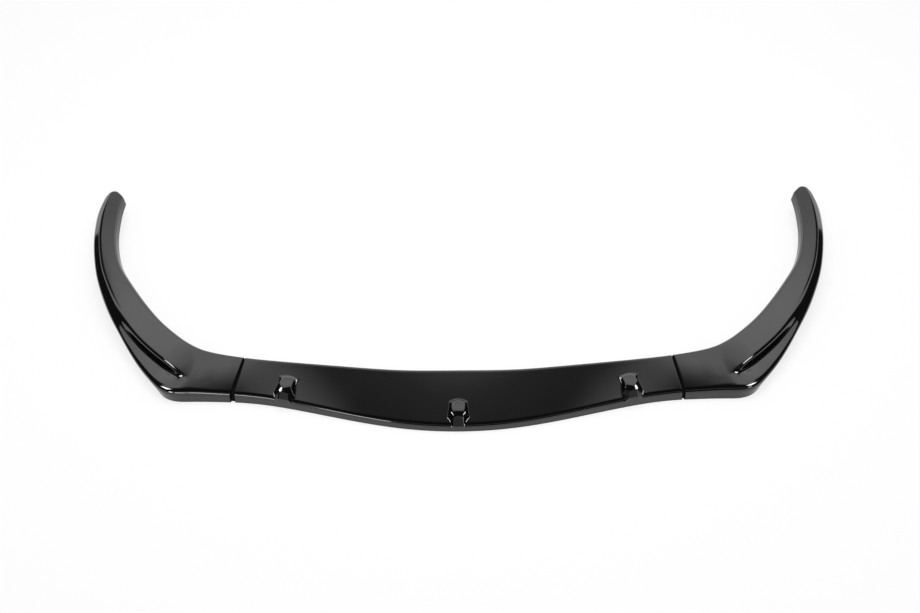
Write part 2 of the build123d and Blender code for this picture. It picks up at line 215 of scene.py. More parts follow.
class LipSizes(bpy.types.PropertyGroup):
    """Sizes of the mouldings."""

    depth: length("Depth", "Overall depth of the lip, from the nose to the arm tips", 672)
    wall: length("Wall", "Thickness of the moulded wall", 3)
    top: length("Top", "Height of the rear edge and of the arms", 54)
    ledge: length("Ledge", "Height of the ledge at the corner", 32)
    flange_depth: length("Flange depth", "How far the rear flange hangs down", 18)
    flange_lean: length("Flange lean", "How far the rear flange leans back", 5)
    rear_round: length("Rear rounding", "Run of the rounding along the rear edge", 6)
    ridge_round: length("Ridge rounding", "Run of the rounding along the arm's ridge", 6)
    step_round: length("Step rounding", "Run of the rounding in the step", 3)
    centre_brow_round: length("Centre brow rounding", "Run of the rounding over the centre's front face", 8)
    side_brow_round: length("Side brow rounding", "Run of the rounding over the arm's outer face", 8)
    ledge_brow_round: length("Ledge brow rounding", "Run of the rounding over the ledge's front face", 16)
    end_round: length("End rounding", "Radius of the edges at the seams and the arm tips", 1.4)
    seam_gap_rear: length("Seam gap, rear", "Gap between two mouldings at the rear edge", 2.5)
    seam_gap_left: length("Left seam gap, front", "Gap at the front of the left seam", 8)
    seam_gap_right: length("Right seam gap, front", "Gap at the front of the right seam", 4)
    seam_turn: angle("Seam turn", "Turn of the seams in plan", 14)
    tongue_inboard: length("Tongue, inboard", "How far a tongue reaches under the centre moulding", 30)
    tongue_outboard: length("Tongue, outboard", "How far a tongue reaches under its own side moulding", 20)
    tongue_upper: length("Tongue top", "Depth of a tongue's upper face under the centre's skin", 3.3)
    tongue_root: length("Tongue root", "Depth of a tongue's upper face under the side's skin", 2.9)
    tongue_lower: length("Tongue bottom", "Depth of a tongue's lower face under the skin", 7.3)
    tip_across: length("Tip across", "How far across the arm's round point lies", 803)
    tip_radius: length("Tip radius", "Radius of the arm's round point in plan", 13)
    tip_inner: angle("Inner slant", "Slant of the tip's inner side", 49)
    tip_outer: angle("Outer slant", "Slant of the tip's outer side", 41)
    boss_turn: angle("Boss turn", "Turn of the outer bosses in plan", 12)
    boss_rise: length("Boss rise", "Height of a boss over the deck at its middle", 9.7)
    boss_top: length("Boss top radius", "Radius of a boss's round top", 13.5)
    boss_foot: length("Boss foot radius", "Radius of a boss's foot at its rear", 21)
    boss_collar: length("Boss collar", "Run of the gentle collar ahead of a boss's top", 8)
    boss_front: length("Boss front run", "The furthest that a boss's front runs ahead of its middle", 38)
    boss_bevel: length("Boss bevel", "From a boss's middle to the upper edge of its front bevels", 18)
    boss_dish: length("Boss dish", "Depth of the shallow dish in a boss's top", 0.35)
    boss_dish_radius: length("Boss dish radius", "Radius of the dish in a boss's top", 9.5)
    boss_soft: length("Boss softness", "Height over which a boss's edges are rounded", 1.3)


class LipFinish(bpy.types.PropertyGroup):
    """Colours and finish of the mouldings and screws."""

    abs_colour: colour("ABS colour", "sRGB hex colour of the black ABS", "#08080A")
    abs_roughness: factor("ABS roughness", "Roughness of the polished ABS", 0.08)
    steel_colour: colour("Screw colour", "sRGB hex colour of the black plated steel", "#2A2B2E")


class LipStudio(bpy.types.PropertyGroup):
    """Floor, light and camera."""

    floor_colour: colour("Floor colour", "sRGB hex colour of the floor", "#F4F4F4")
    floor_held: factor("Floor held", "Share of the floor's white that no shadow darkens", 0.78)
    world_light: factor("World light", "Strength of the world in diffuse light", 0.5)
    canopy_radius: length("Canopy radius", "Radius of the canopy over the stage", 4000)
    camera_distance: length("Camera distance", "From the camera to the point it looks at", 2851.5)
    camera_elevation: angle("Camera elevation", "Angle over the horizon", 46.864)
    camera_yaw: angle("Camera yaw", "Turn about the vertical", -0.409)
    camera_roll: angle("Camera roll", "Turn about the line of sight", -0.686)
    camera_lens: bpy.props.FloatProperty(
        name="Lens", description="Focal length on a 36 mm sensor", default=50.87, subtype="DISTANCE_CAMERA")


# Cross-sections

def spline(rows):
    """Natural cubic spline through table rows, over the mean run of their rear and foot points.

    Gives the knots, the rows and the rows' second derivatives, which solve the usual tridiagonal system.
    """
    rear = np.hypot(*np.diff(rows[:, [REAR_X, REAR_Y]], axis=0).T)
    foot = np.hypot(*np.diff(rows[:, [FOOT_X, FOOT_Y]], axis=0).T)
    knots = np.concatenate([[0.0], np.cumsum((rear + foot) / 2)])
    gaps = np.diff(knots)
    inner = np.arange(1, len(knots) - 1)
    system = np.eye(len(knots))
    system[inner, inner - 1] = gaps[:-1]
    system[inner, inner] = 2 * (gaps[:-1] + gaps[1:])
    system[inner, inner + 1] = gaps[1:]
    bends = np.zeros_like(rows)
    bends[1:-1] = 6 * np.diff(np.diff(rows, axis=0) / gaps[:, None], axis=0)
    return knots, rows, np.linalg.solve(system, bends)


def rows_at(curve, run):
    """The spline's rows at runs along it: on each gap the cubic of its end rows and second derivatives."""
    knots, rows, bends = curve
    gaps = np.diff(knots)
    k = np.clip(np.searchsorted(knots, run, side="right") - 1, 0, len(gaps) - 1)
    gap = gaps[k, None]
    past = (run - knots[k])[:, None]
    ahead = gap - past
    found = (bends[k] * ahead**3 + bends[k + 1] * past**3) / (6 * gap)
    found += (rows[k] / gap - bends[k] * gap / 6) * ahead
    found += (rows[k + 1] / gap - bends[k + 1] * gap / 6) * past
    found[:, [LEVEL, FADE]] = np.clip(found[:, [LEVEL, FADE]], 0, 1)
    found[:, LIFT] = np.maximum(found[:, LIFT], 0)
    return found


def section_corners(rows, stepped, sizes):
    """Corners of the outer skin in each cross-section, rear to front: distance from the rear edge, height.

    The deck falls straight from the rear edge to the brow. On a side moulding it blends, by the level share,
    into a level arm with a step down to the ledge, and by the fade share the step's foot slides onto the
    straight bevel from the ridge to the brow.
    """
    width = np.hypot(rows[:, FOOT_X] - rows[:, REAR_X], rows[:, FOOT_Y] - rows[:, REAR_Y])
    none = np.zeros_like(width)
    flange = np.stack([none - sizes.flange_lean, none + sizes.top - sizes.flange_depth], axis=1)
    rear = np.stack([none, none + sizes.top], axis=1)
    brow = np.stack([width + rows[:, OVER], rows[:, BROW]], axis=1)
    foot = np.stack([width, rows[:, LIFT]], axis=1)
    if not stepped:
        return np.stack([flange, rear, brow, foot], axis=1)
    fall = (sizes.top - rows[:, BROW]) / (width + rows[:, OVER])
    level, fade = rows[:, LEVEL], rows[:, FADE, None]
    ridge = np.stack([rows[:, RIDGE], sizes.top - fall * rows[:, RIDGE] * (1 - level)], axis=1)
    step_height = sizes.top - fall * rows[:, STEP]
    step = np.stack([rows[:, STEP], step_height + level * (sizes.ledge - step_height)], axis=1)
    step = step + fade * (ridge + STEP_END * (brow - ridge) - step)
    return np.stack([flange, rear, ridge, step, brow, foot], axis=1)


def inset(corners, depth):
    """The corners moved square to the skin into the wall: each goes along its two sides' mean normal."""
    sides = np.diff(corners, axis=1)
    sides = sides / np.linalg.norm(sides, axis=2, keepdims=True)
    normals = np.stack([sides[:, :, 1], -sides[:, :, 0]], axis=2)
    depth = depth[:, None, None]
    before, after = normals[:, :-1], normals[:, 1:]
    share = depth / (1 + np.sum(before * after, axis=2, keepdims=True))
    moved = corners.copy()
    moved[:, 0] += depth[:, 0] * normals[:, 0]
    moved[:, 1:-1] += share * (before + after)
    moved[:, -1, 0] += depth[:, 0, 0] / normals[:, -1, 0]
    return moved


def roundings(rows, depth, stepped, sizes):
    """Run of the rounding at each inner corner: less outside a bend that is moved in, more inside one."""
    same = np.ones(len(rows))
    outer, change = [sizes.rear_round * same, sizes.centre_brow_round * same], [-1, -1]
    if stepped:
        brow = sizes.ledge_brow_round + (sizes.side_brow_round - sizes.ledge_brow_round) * rows[:, FADE]
        outer = [sizes.rear_round * same, sizes.ridge_round * same, sizes.step_round * same, brow]
        change = [-1, -SHALLOW_BEND, SHALLOW_BEND, -1]
    outer = np.stack(outer, axis=1)
    return np.maximum(outer + depth[:, None] * np.array(change), outer * LEAST_INSIDE)


def profile(corners, rounds, t):
    """Point t of each outline: straights on the even stretches of t, quadratic curves on the odd ones."""
    before, corner, after = corners[:, :-2], corners[:, 1:-1], corners[:, 2:]
    back, onward = before - corner, after - corner
    back_run = np.linalg.norm(back, axis=2, keepdims=True)
    onward_run = np.linalg.norm(onward, axis=2, keepdims=True)
    enter = corner + back / back_run * np.minimum(rounds[:, :, None], MOST_OF_STRAIGHT * back_run)
    leave = corner + onward / onward_run * np.minimum(rounds[:, :, None], MOST_OF_STRAIGHT * onward_run)
    starts = np.concatenate([corners[:, :1], leave], axis=1)
    ends = np.concatenate([enter, corners[:, -1:]], axis=1)
    last = 2 * corners.shape[1] - 4
    stretch = np.clip(np.floor(t).astype(int), 0, last)
    share = (t - stretch)[:, None]
    each = np.arange(len(t))
    k = stretch // 2
    straight = starts[each, k] + share * (ends[each, k] - starts[each, k])
    c = np.minimum(k, corner.shape[1] - 1)
    bend = (1 - share)**2 * enter[each, c] + 2 * share * (1 - share) * corner[each, c]
    bend += share**2 * leave[each, c]
    return np.where((stretch % 2 == 1)[:, None], bend, straight)


def skin(curve, stepped, run, t, depth, sizes):
    """A moulding's skin as points: profile parameter t, at a run along it, moved a depth into the wall."""
    run, t, depth = np.broadcast_arrays(run, t, depth)
    shape = run.shape
    rows = rows_at(curve, run.ravel())
    corners = inset(section_corners(rows, stepped, sizes), depth.ravel())
    point = profile(corners, roundings(rows, depth.ravel(), stepped, sizes), t.ravel())
    way = rows[:, [FOOT_X, FOOT_Y]] - rows[:, [REAR_X, REAR_Y]]
    way = way / np.linalg.norm(way, axis=1, keepdims=True)
    plan = rows[:, [REAR_X, REAR_Y]] + point[:, :1] * way - [0, sizes.depth / 2]
    return np.concatenate([plan, point[:, 1:]], axis=1).reshape(*shape, 3)


# Cuts at the seams and the tips

def past_seam(points, gap_rear, gap_front, sizes):
    """How far points lie outboard of a seam line, which is moved outboard by the gaps at its two ends."""
    span = np.hypot(*(TABLE[SEAM_ROW, [FOOT_X, FOOT_Y]] - SEAM_REAR))
    turn = sizes.seam_turn + np.arctan2(gap_front - gap_rear, span)
    outboard = np.array([cos(sizes.seam_turn), sin(sizes.seam_turn)])
    origin = SEAM_REAR - [0, sizes.depth / 2] + gap_rear * outboard
    return (points[..., :2] - origin) @ np.array([cos(turn), sin(turn)])


def past_tip(points, sizes):
    """How far points lie past the arm's tip: the larger distance to two slants, or to the circle between."""
    q = points[..., :2] - [sizes.tip_across, sizes.depth / 2 - sizes.tip_radius - TIP_SHORT]
    inner = np.array([-sin(sizes.tip_inner), cos(sizes.tip_inner)])
    outer = np.array([sin(sizes.tip_outer), cos(sizes.tip_outer)])
    past_inner = q[..., 0] * inner[1] - q[..., 1] * inner[0] > 0
    before_outer = outer[0] * q[..., 1] - outer[1] * q[..., 0] > 0
    slants = np.maximum(q @ inner, q @ outer)
    return np.where(past_inner & before_outer, np.linalg.norm(q, axis=-1), slants) - sizes.tip_radius


def crossing(runs, past):
    """The run in each column where past turns from negative to positive, by straight interpolation."""
    k = np.clip(np.argmax(past > 0, axis=0), 1, len(runs) - 1)
    column = np.arange(past.shape[1])
    low, high = past[k - 1, column], past[k, column]
    return runs[k - 1] + (runs[k] - runs[k - 1]) * np.clip(-low / (high - low), 0, 1)


# Walls

def columns(counts):
    """Profile parameters with the given number of steps on each stretch."""
    return np.concatenate([k + np.arange(n) / n for k, n in enumerate(counts)] + [[float(len(counts))]])


def out_and_back(t):
    """Profile parameters out over the skin and back under it, with 0 for those over and 1 for those under."""
    return np.concatenate([t, t[::-1]]), np.repeat([0.0, 1.0], len(t))


def graded(start, end, places):
    """Runs from start to end, coarse apart but fine apart near the places."""
    probe = np.linspace(start, end, GRADE_STEPS)
    near = np.zeros_like(probe)
    for place in places:
        near = np.maximum(near, np.clip(2 - np.abs(probe - place) / FINE_REACH, 0, 1))
    density = 1 / COARSE + near * (1 / FINE - 1 / COARSE)
    count = np.concatenate([[0.0], np.cumsum((density[1:] + density[:-1]) / 2 * np.diff(probe))])
    return np.interp(np.linspace(0, count[-1], int(count[-1]) + 2), count, probe)


def wall_points(curve, stepped, t, starts, ends, inner_runs, ease, sizes):
    """A thin wall as a grid: rows along the moulding, columns out over the skin and back under it.

    Each column runs from its own start to its own end. Near an end the rows slide to meet it, and the outer
    skin turns into the wall on a quarter circle of the end rounding.
    """
    around, under = out_and_back(t)
    radius = sizes.end_round
    clear = 1.5 * radius
    turn = np.linspace(pi / 2, 0, TURN_STEPS + 1)
    hold, sink = radius * (1 - np.sin(turn)), radius * (1 - np.cos(turn))
    first, last = starts.mean(), ends.mean()
    inside = inner_runs[(inner_runs > first + clear) & (inner_runs < last - clear)]
    base = np.concatenate([first + hold, inside, last - hold[::-1]])
    sunk = np.concatenate([sink, np.zeros(len(inside)), sink[::-1]])
    to_start = np.clip(1 - (base - first - radius) / ease, 0, 1)**2
    to_end = np.clip(1 - (last - base - radius) / ease, 0, 1)**2
    run = base[:, None] + (starts - first) * to_start[:, None] + (ends - last) * to_end[:, None]
    depth = (1 - under) * sunk[:, None] + under * sizes.wall
    return skin(curve, stepped, run, around, depth, sizes)


def centre_curve():
    """The centre moulding's spline, from its left end to its right end."""
    half = TABLE[:SEAM_ROW + 2]
    left = half[:0:-1].copy()
    left[:, [REAR_X, FOOT_X]] *= -1
    return spline(np.concatenate([left, half]))


def tongue_points(gap_front, sizes):
    """The right joining tongue: a strip that lines the centre's wall and, thicker there, the side's own."""
    curve = centre_curve()
    runs = np.linspace(curve[0][-1] / 2, curve[0][-1], SEARCH_STEPS // 2)
    around, under = out_and_back(TONGUE_FIRST + TONGUE_SHARE * columns(TONGUE_STEPS))
    plan = skin(curve, False, runs[:, None], around, TONGUE_CUT, sizes)
    inboard = crossing(runs, past_seam(plan, -sizes.tongue_inboard, -sizes.tongue_inboard, sizes))
    outboard = crossing(runs, past_seam(plan, sizes.tongue_outboard, sizes.tongue_outboard, sizes))
    root = crossing(runs, past_seam(plan, sizes.seam_gap_rear, gap_front, sizes))
    upper = np.repeat([sizes.tongue_upper, sizes.tongue_root], 2)
    run = np.stack([inboard, root, root, outboard])
    depth = upper[:, None] * (1 - under) + sizes.tongue_lower * under
    return skin(curve, False, run, around, depth, sizes)


# Bosses

def soft_max(a, b, soft):
    """The larger of two heights, with the kink between them rounded over a soft height."""
    near = np.maximum(soft - np.abs(a - b), 0)
    return np.maximum(a, b) + near**2 / (4 * soft)


def deck_slope(curve, place, sizes):
    """Fall of the deck, for each length of run, in the cross-section that passes nearest to a place."""
    rows = rows_at(curve, np.linspace(0, curve[0][-1], DECK_SEARCH_STEPS))
    way = rows[:, [FOOT_X, FOOT_Y]] - rows[:, [REAR_X, REAR_Y]]
    width = np.linalg.norm(way, axis=1)
    plan = place[:2] + [0, sizes.depth / 2] - rows[:, [REAR_X, REAR_Y]]
    k = np.argmin(np.abs(plan[:, 0] * way[:, 1] - plan[:, 1] * way[:, 0]) / width)
    return (sizes.top - rows[k, BROW]) / (width[k] + rows[k, OVER])


def boss_height(points, curve, mount, inside, sizes):
    """Heights of the skin with a fixing boss on it: the larger of the skin's and the boss's.

    Ahead, the boss falls from its level top by the largest of a conical collar, a front plane, two bevels and
    two side planes, and behind, on a cone that is gentler straight back. Inside is 0 for the outer skin and 1
    for the hollow, which lies one wall further in.
    """
    middle = np.array(mount["pos_m"])
    slope = deck_slope(curve, middle, sizes)
    turn = np.sign(middle[0]) * sizes.boss_turn
    away = points[..., :2] - middle[:2]
    ahead = away @ np.array([sin(turn), -cos(turn)])
    aside = np.abs(away @ np.array([cos(turn), sin(turn)]))
    reach = np.maximum(np.hypot(ahead, aside), LEAST_REACH)
    thinner = inside * sizes.wall
    edge = sizes.boss_top - thinner
    sunk, run = sizes.boss_rise + BOSS_SUNK, sizes.boss_foot - sizes.boss_top
    to_side = (sunk + slope * run) / run
    to_rear = (sunk - slope * sizes.boss_foot) / run
    front = COLLAR_FALL * sizes.boss_collar + FRONT_FALL * (ahead - edge - sizes.boss_collar)
    bevel = BEVEL_FALL * ((ahead + aside) / 2**0.5 - sizes.boss_bevel + thinner)
    fall = COLLAR_FALL * (reach - edge)
    for plane in (front, bevel, to_side * (aside - edge)):
        fall = soft_max(fall, plane, CREASE)
    cone = np.interp(ahead / reach, REAR_COSINES, [to_rear, to_rear, to_side]) * (reach - edge)
    fall = np.where(ahead > 0, fall, cone)
    dish = sizes.boss_dish * np.clip((sizes.boss_dish_radius - reach) / DISH_EDGE, 0, 1) * (1 - inside)
    hill = middle[2] - thinner - soft_max(fall, dish, sizes.boss_soft)
    raised = soft_max(points[..., 2], hill, sizes.boss_soft)
    near = (ahead < sizes.boss_front) & (reach < 2 * sizes.boss_foot)
    return np.where(near, raised, points[..., 2])


# Meshes

def tube_faces(rows, around):
    """Quads of a closed tube of points, with both its ends shut by strips across the wall."""
    i, j = np.meshgrid(np.arange(rows - 1), np.arange(around), indexing="ij")
    here, ahead, beside = i * around, (i + 1) * around, (j + 1) % around
    sides = np.stack([here + j, here + beside, ahead + beside, ahead + j], axis=-1)
    j = np.arange(around // 2 - 1)
    under = around - 1 - j
    start = np.stack([j, under, under - 1, j + 1], axis=-1)
    end = start[:, ::-1] + (rows - 1) * around
    return np.concatenate([sides.reshape(-1, 4), start, end])


def piece(name, grids, mirror, materials, last_trimmed):
    """One object from closed tubes of points. A mirrored one has its faces turned the other way round.

    The first material goes on the outer half round of the first tube, apart from its trimmed ends, and the
    second on all other faces.
    """
    points, faces, inside, count = [], [], [], 0
    for grid in grids:
        rows, around = grid.shape[:2]
        found = tube_faces(rows, around)
        row, column = np.divmod(np.arange(len(found)), around)
        last = rows - 1 - (TURN_STEPS if last_trimmed else 0)
        inside.append((row < TURN_STEPS) | (row >= last) | (column >= around // 2) | (count > 0))
        points.append(grid.reshape(-1, 3))
        faces.append((found[:, ::-1] if mirror else found) + count)
        count += rows * around
    points, faces, inside = np.concatenate(points), np.concatenate(faces), np.concatenate(inside)
    if mirror:
        points = points * [-1, 1, 1]
    mesh = bpy.data.meshes.new(name)
    mesh.vertices.add(len(points))
    mesh.vertices.foreach_set("co", points.ravel())
    mesh.loops.add(faces.size)
    mesh.loops.foreach_set("vertex_index", faces.ravel())
    mesh.polygons.add(len(faces))
    mesh.polygons.foreach_set("loop_start", np.arange(0, faces.size, 4))
    mesh.polygons.foreach_set("use_smooth", np.ones(len(faces), bool))
    for material in materials:
        mesh.materials.append(material)
    mesh.polygons.foreach_set("material_index", inside.astype(np.int32))
    mesh.update(calc_edges=True)
    mesh.set_sharp_from_angle(angle=SHARP_ANGLE)
    made = bpy.data.objects.new(name, mesh)
    bpy.context.scene.collection.objects.link(made)
    return made


# Materials

def linear(code):
    """Linear RGBA of an sRGB hex colour."""
    value = np.array([int(code[k:k + 2], 16) for k in (1, 3, 5)]) / 255
    value = np.where(value <= 0.04045, value / 12.92, ((value + 0.055) / 1.055)**2.4)
    return (*value, 1.0)


def add(tree, kind, inputs=(), **settings):
    """Adds a node with its settings. Its inputs take plain values or other nodes' sockets."""
    made = tree.nodes.new(kind)
    for key, value in settings.items():
        setattr(made, key, value)
    for key, value in dict(inputs).items():
        if isinstance(value, bpy.types.NodeSocket):
            tree.links.new(value, made.inputs[key])
        else:
            made.inputs[key].default_value = value
    return made


def new_material(name):
    """An empty node material and its output node."""
    material = bpy.data.materials.new(name)
    material.use_nodes = True
    material.node_tree.nodes.clear()
    return material, material.node_tree, add(material.node_tree, "ShaderNodeOutputMaterial")


def polished_black_abs(finish):
    """Injection-moulded ABS, black through the wall, polished mould.

    To the eye it is a deep black mirror: nearly all light that comes back is a clear reflection. Flow haze
    changes its gloss slowly along the part, and the faint waves of the moulding bend reflected edges.
    """
    material, tree, output = new_material(POLISHED)
    place = add(tree, "ShaderNodeTexCoord").outputs["Object"]
    haze = add(tree, "ShaderNodeTexNoise", {"Vector": place, "Scale": 1 / (60 * MM), "Detail": 3.0})
    roughness = add(tree, "ShaderNodeMapRange", {
        "Value": haze.outputs["Fac"], "From Min": 0.3, "From Max": 0.7,
        "To Min": finish.abs_roughness * 0.8, "To Max": finish.abs_roughness * 1.2})
    peel = add(tree, "ShaderNodeTexNoise", {"Vector": place, "Scale": 1 / (4 * MM), "Detail": 1.0})
    waves = add(tree, "ShaderNodeBump", {
        "Height": peel.outputs["Fac"], "Strength": 0.25, "Distance": 0.02 * MM})
    shader = add(tree, "ShaderNodeBsdfPrincipled", {
        "Base Color": linear(finish.abs_colour), "Roughness": roughness.outputs["Result"], "IOR": 1.54,
        "Specular IOR Level": 0.65, "Normal": waves.outputs["Normal"]})
    tree.links.new(shader.outputs["BSDF"], output.inputs["Surface"])
    return material


def grained_black_abs(finish):
    """The same ABS on the inside, from a spark-eroded mould half.

    To the eye it is dull and dark, with a fine grain and no mirror.
    """
    material, tree, output = new_material(GRAINED)
    place = add(tree, "ShaderNodeTexCoord").outputs["Object"]
    grain = add(tree, "ShaderNodeTexNoise", {"Vector": place, "Scale": 1 / (0.6 * MM), "Detail": 2.0})
    pits = add(tree, "ShaderNodeBump", {
        "Height": grain.outputs["Fac"], "Strength": 0.4, "Distance": 0.05 * MM})
    shader = add(tree, "ShaderNodeBsdfPrincipled", {
        "Base Color": linear(finish.abs_colour), "Roughness": 0.65, "Specular IOR Level": 0.05,
        "Normal": pits.outputs["Normal"]})
    tree.links.new(shader.outputs["BSDF"], output.inputs["Surface"])
    return material


def abs_finishes(finish):
    """The polished and the grained ABS, made once for all three mouldings."""
    return [bpy.data.materials.get(POLISHED) or polished_black_abs(finish),
            bpy.data.materials.get(GRAINED) or grained_black_abs(finish)]


def black_plated_steel(finish):
    """Rolled steel screws with black zinc plating: a dark metal with a soft, slightly mottled sheen."""
    material, tree, output = new_material("black_zinc_plated_steel")
    place = add(tree, "ShaderNodeTexCoord").outputs["Object"]
    mottle = add(tree, "ShaderNodeTexNoise", {"Vector": place, "Scale": 1 / (2 * MM), "Detail": 4.0})
    roughness = add(tree, "ShaderNodeMapRange", {
        "Value": mottle.outputs["Fac"], "To Min": 0.3, "To Max": 0.5})
    shader = add(tree, "ShaderNodeBsdfPrincipled", {
        "Base Color": linear(finish.steel_colour), "Metallic": 1.0, "Roughness": roughness.outputs["Result"]})
    tree.links.new(shader.outputs["BSDF"], output.inputs["Surface"])
    return material


def seen_directly(tree):
    """1 for camera, glossy and transmission rays, which show the white background, and 0 for all others."""
    rays = add(tree, "ShaderNodeLightPath").outputs
    either = add(tree, "ShaderNodeMath", {
        0: rays["Is Camera Ray"], 1: rays["Is Glossy Ray"]}, operation="MAXIMUM")
    seen = add(tree, "ShaderNodeMath", {
        0: either.outputs[0], 1: rays["Is Transmission Ray"]}, operation="MAXIMUM")
    return seen.outputs[0]


def white_floor(studio):
    """Matt white studio paper, lit softly.

    To the eye it is plain white: part of the white is held up, so that only a faint shadow shows.
    """
    material, tree, output = new_material("matt_white_paper")
    held = add(tree, "ShaderNodeMath", {0: seen_directly(tree), 1: studio.floor_held}, operation="MULTIPLY")
    paper = add(tree, "ShaderNodeBsdfDiffuse", {"Color": linear(studio.floor_colour)})
    white = add(tree, "ShaderNodeEmission", {"Color": (1, 1, 1, 1), "Strength": 1.0})
    mixed = add(tree, "ShaderNodeMixShader", {
        0: held.outputs[0], 1: paper.outputs["BSDF"], 2: white.outputs["Emission"]})
    tree.links.new(mixed.outputs[0], output.inputs["Surface"])
    return material


def brightness(tree, share, stops):
    """Grey levels through the given stops, as a socket."""
    ramp = add(tree, "ShaderNodeValToRGB", {"Fac": share})
    while len(ramp.color_ramp.elements) < len(stops):
        ramp.color_ramp.elements.new(0.5)
    for element, (position, level) in zip(ramp.color_ramp.elements, stops):
        element.position = position
        element.color = (level, level, level, 1)
    return ramp.outputs["Color"]


def glowing_cloth(name, axis, reach, stops, middle=None):
    """Studio cloth whose brightness follows one axis, from minus to plus the reach, through the given stops.

    Middle stops, where given, hold near the plane X = 0 and fade into the others to both sides.
    """
    material, tree, output = new_material(name)
    place = add(tree, "ShaderNodeTexCoord").outputs["Object"]
    apart = add(tree, "ShaderNodeSeparateXYZ", {"Vector": place})
    along = add(tree, "ShaderNodeMapRange", {
        "Value": apart.outputs[axis], "From Min": -reach, "From Max": reach})
    level = brightness(tree, along.outputs["Result"], stops)
    if middle:
        aside = add(tree, "ShaderNodeMath", {0: apart.outputs["X"]}, operation="ABSOLUTE")
        fade = add(tree, "ShaderNodeMapRange", {
            "Value": aside.outputs[0], "From Min": MIDDLE_FULL, "From Max": MIDDLE_GONE},
            interpolation_type="SMOOTHSTEP")
        both = add(tree, "ShaderNodeMixRGB", {
            "Fac": fade.outputs["Result"], "Color1": brightness(tree, along.outputs["Result"], middle),
            "Color2": level})
        level = both.outputs["Color"]
    glow = add(tree, "ShaderNodeEmission", {"Color": level, "Strength": CLOTH_STRENGTH})
    tree.links.new(glow.outputs["Emission"], output.inputs["Surface"])
    return material


# Operators

class LIP_OT_centre(bpy.types.Operator):
    """Builds the centre moulding with its three fixing bosses"""

    bl_idname = "lip.centre"
    bl_label = "Centre moulding"

    def execute(self, context):
        sizes = context.scene.lip_sizes
        curve = centre_curve()
        t = columns(CENTRE_STEPS)
        around, under = out_and_back(t)
        runs = np.linspace(0, curve[0][-1], SEARCH_STEPS)
        plan = skin(curve, False, runs[:, None], around, under * sizes.wall, sizes)
        starts = crossing(runs, -past_seam(plan * [-1, 1, 1], 0, 0, sizes))
        ends = crossing(runs, past_seam(plan, 0, 0, sizes))
        mounts = [m for m in frame["record"]["mounts"] if m["name"].endswith("boss_top")]
        middle = skin(curve, False, runs, DECK_MIDDLE, 0.0, sizes)
        places = [np.interp(m["pos_m"][0], middle[:, 0], runs) for m in mounts]
        inner_runs = graded(runs[0], runs[-1], places)
        grid = wall_points(curve, False, t, starts, ends, inner_runs, CENTRE_EASE, sizes)
        for inside in (0, 1):
            deck = (around > BOSS_FROM) & (around < BOSS_TO) & (under == inside)
            for mount in mounts:
                grid[:, deck, 2] = boss_height(grid[:, deck], curve, mount, inside, sizes)
        made = piece("centre_moulding", [grid], False, abs_finishes(context.scene.lip_finish), True)
        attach(made, "root")
        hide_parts("centre_section")
        return {"FINISHED"}


class LIP_OT_sides(bpy.types.Operator):
    """Builds the two side mouldings with their arms and joining tongues"""

    bl_idname = "lip.sides"
    bl_label = "Side mouldings"

    def execute(self, context):
        sizes = context.scene.lip_sizes
        materials = abs_finishes(context.scene.lip_finish)
        curve = spline(TABLE[SEAM_ROW:])
        t = columns(SIDE_STEPS)
        around, under = out_and_back(t)
        runs = np.linspace(0, curve[0][-1], SEARCH_STEPS)
        plan = skin(curve, True, runs[:, None], around, under * sizes.wall, sizes)
        ends = crossing(runs, past_tip(plan, sizes))
        inner_runs = np.linspace(0, curve[0][-1], SIDE_ROWS)
        seams = (("left", sizes.seam_gap_left, True), ("right", sizes.seam_gap_right, False))
        for name, gap, mirror in seams:
            starts = crossing(runs, past_seam(plan, sizes.seam_gap_rear, gap, sizes))
            grid = wall_points(curve, True, t, starts, ends, inner_runs, SIDE_EASE, sizes)
            made = piece(f"{name}_side_moulding", [grid, tongue_points(gap, sizes)], mirror, materials, False)
            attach(made, "root")
            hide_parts(f"{name}_side_section")
        return {"FINISHED"}


class LIP_OT_screws(bpy.types.Operator):
    """Finishes the screws that hold the tongues from below"""

    bl_idname = "lip.screws"
    bl_label = "Seam screws"

    def execute(self, context):
        screws = frame["nodes"]["seam_screws"]
        screws.data.materials.clear()
        screws.data.materials.append(black_plated_steel(context.scene.lip_finish))
        return {"FINISHED"}


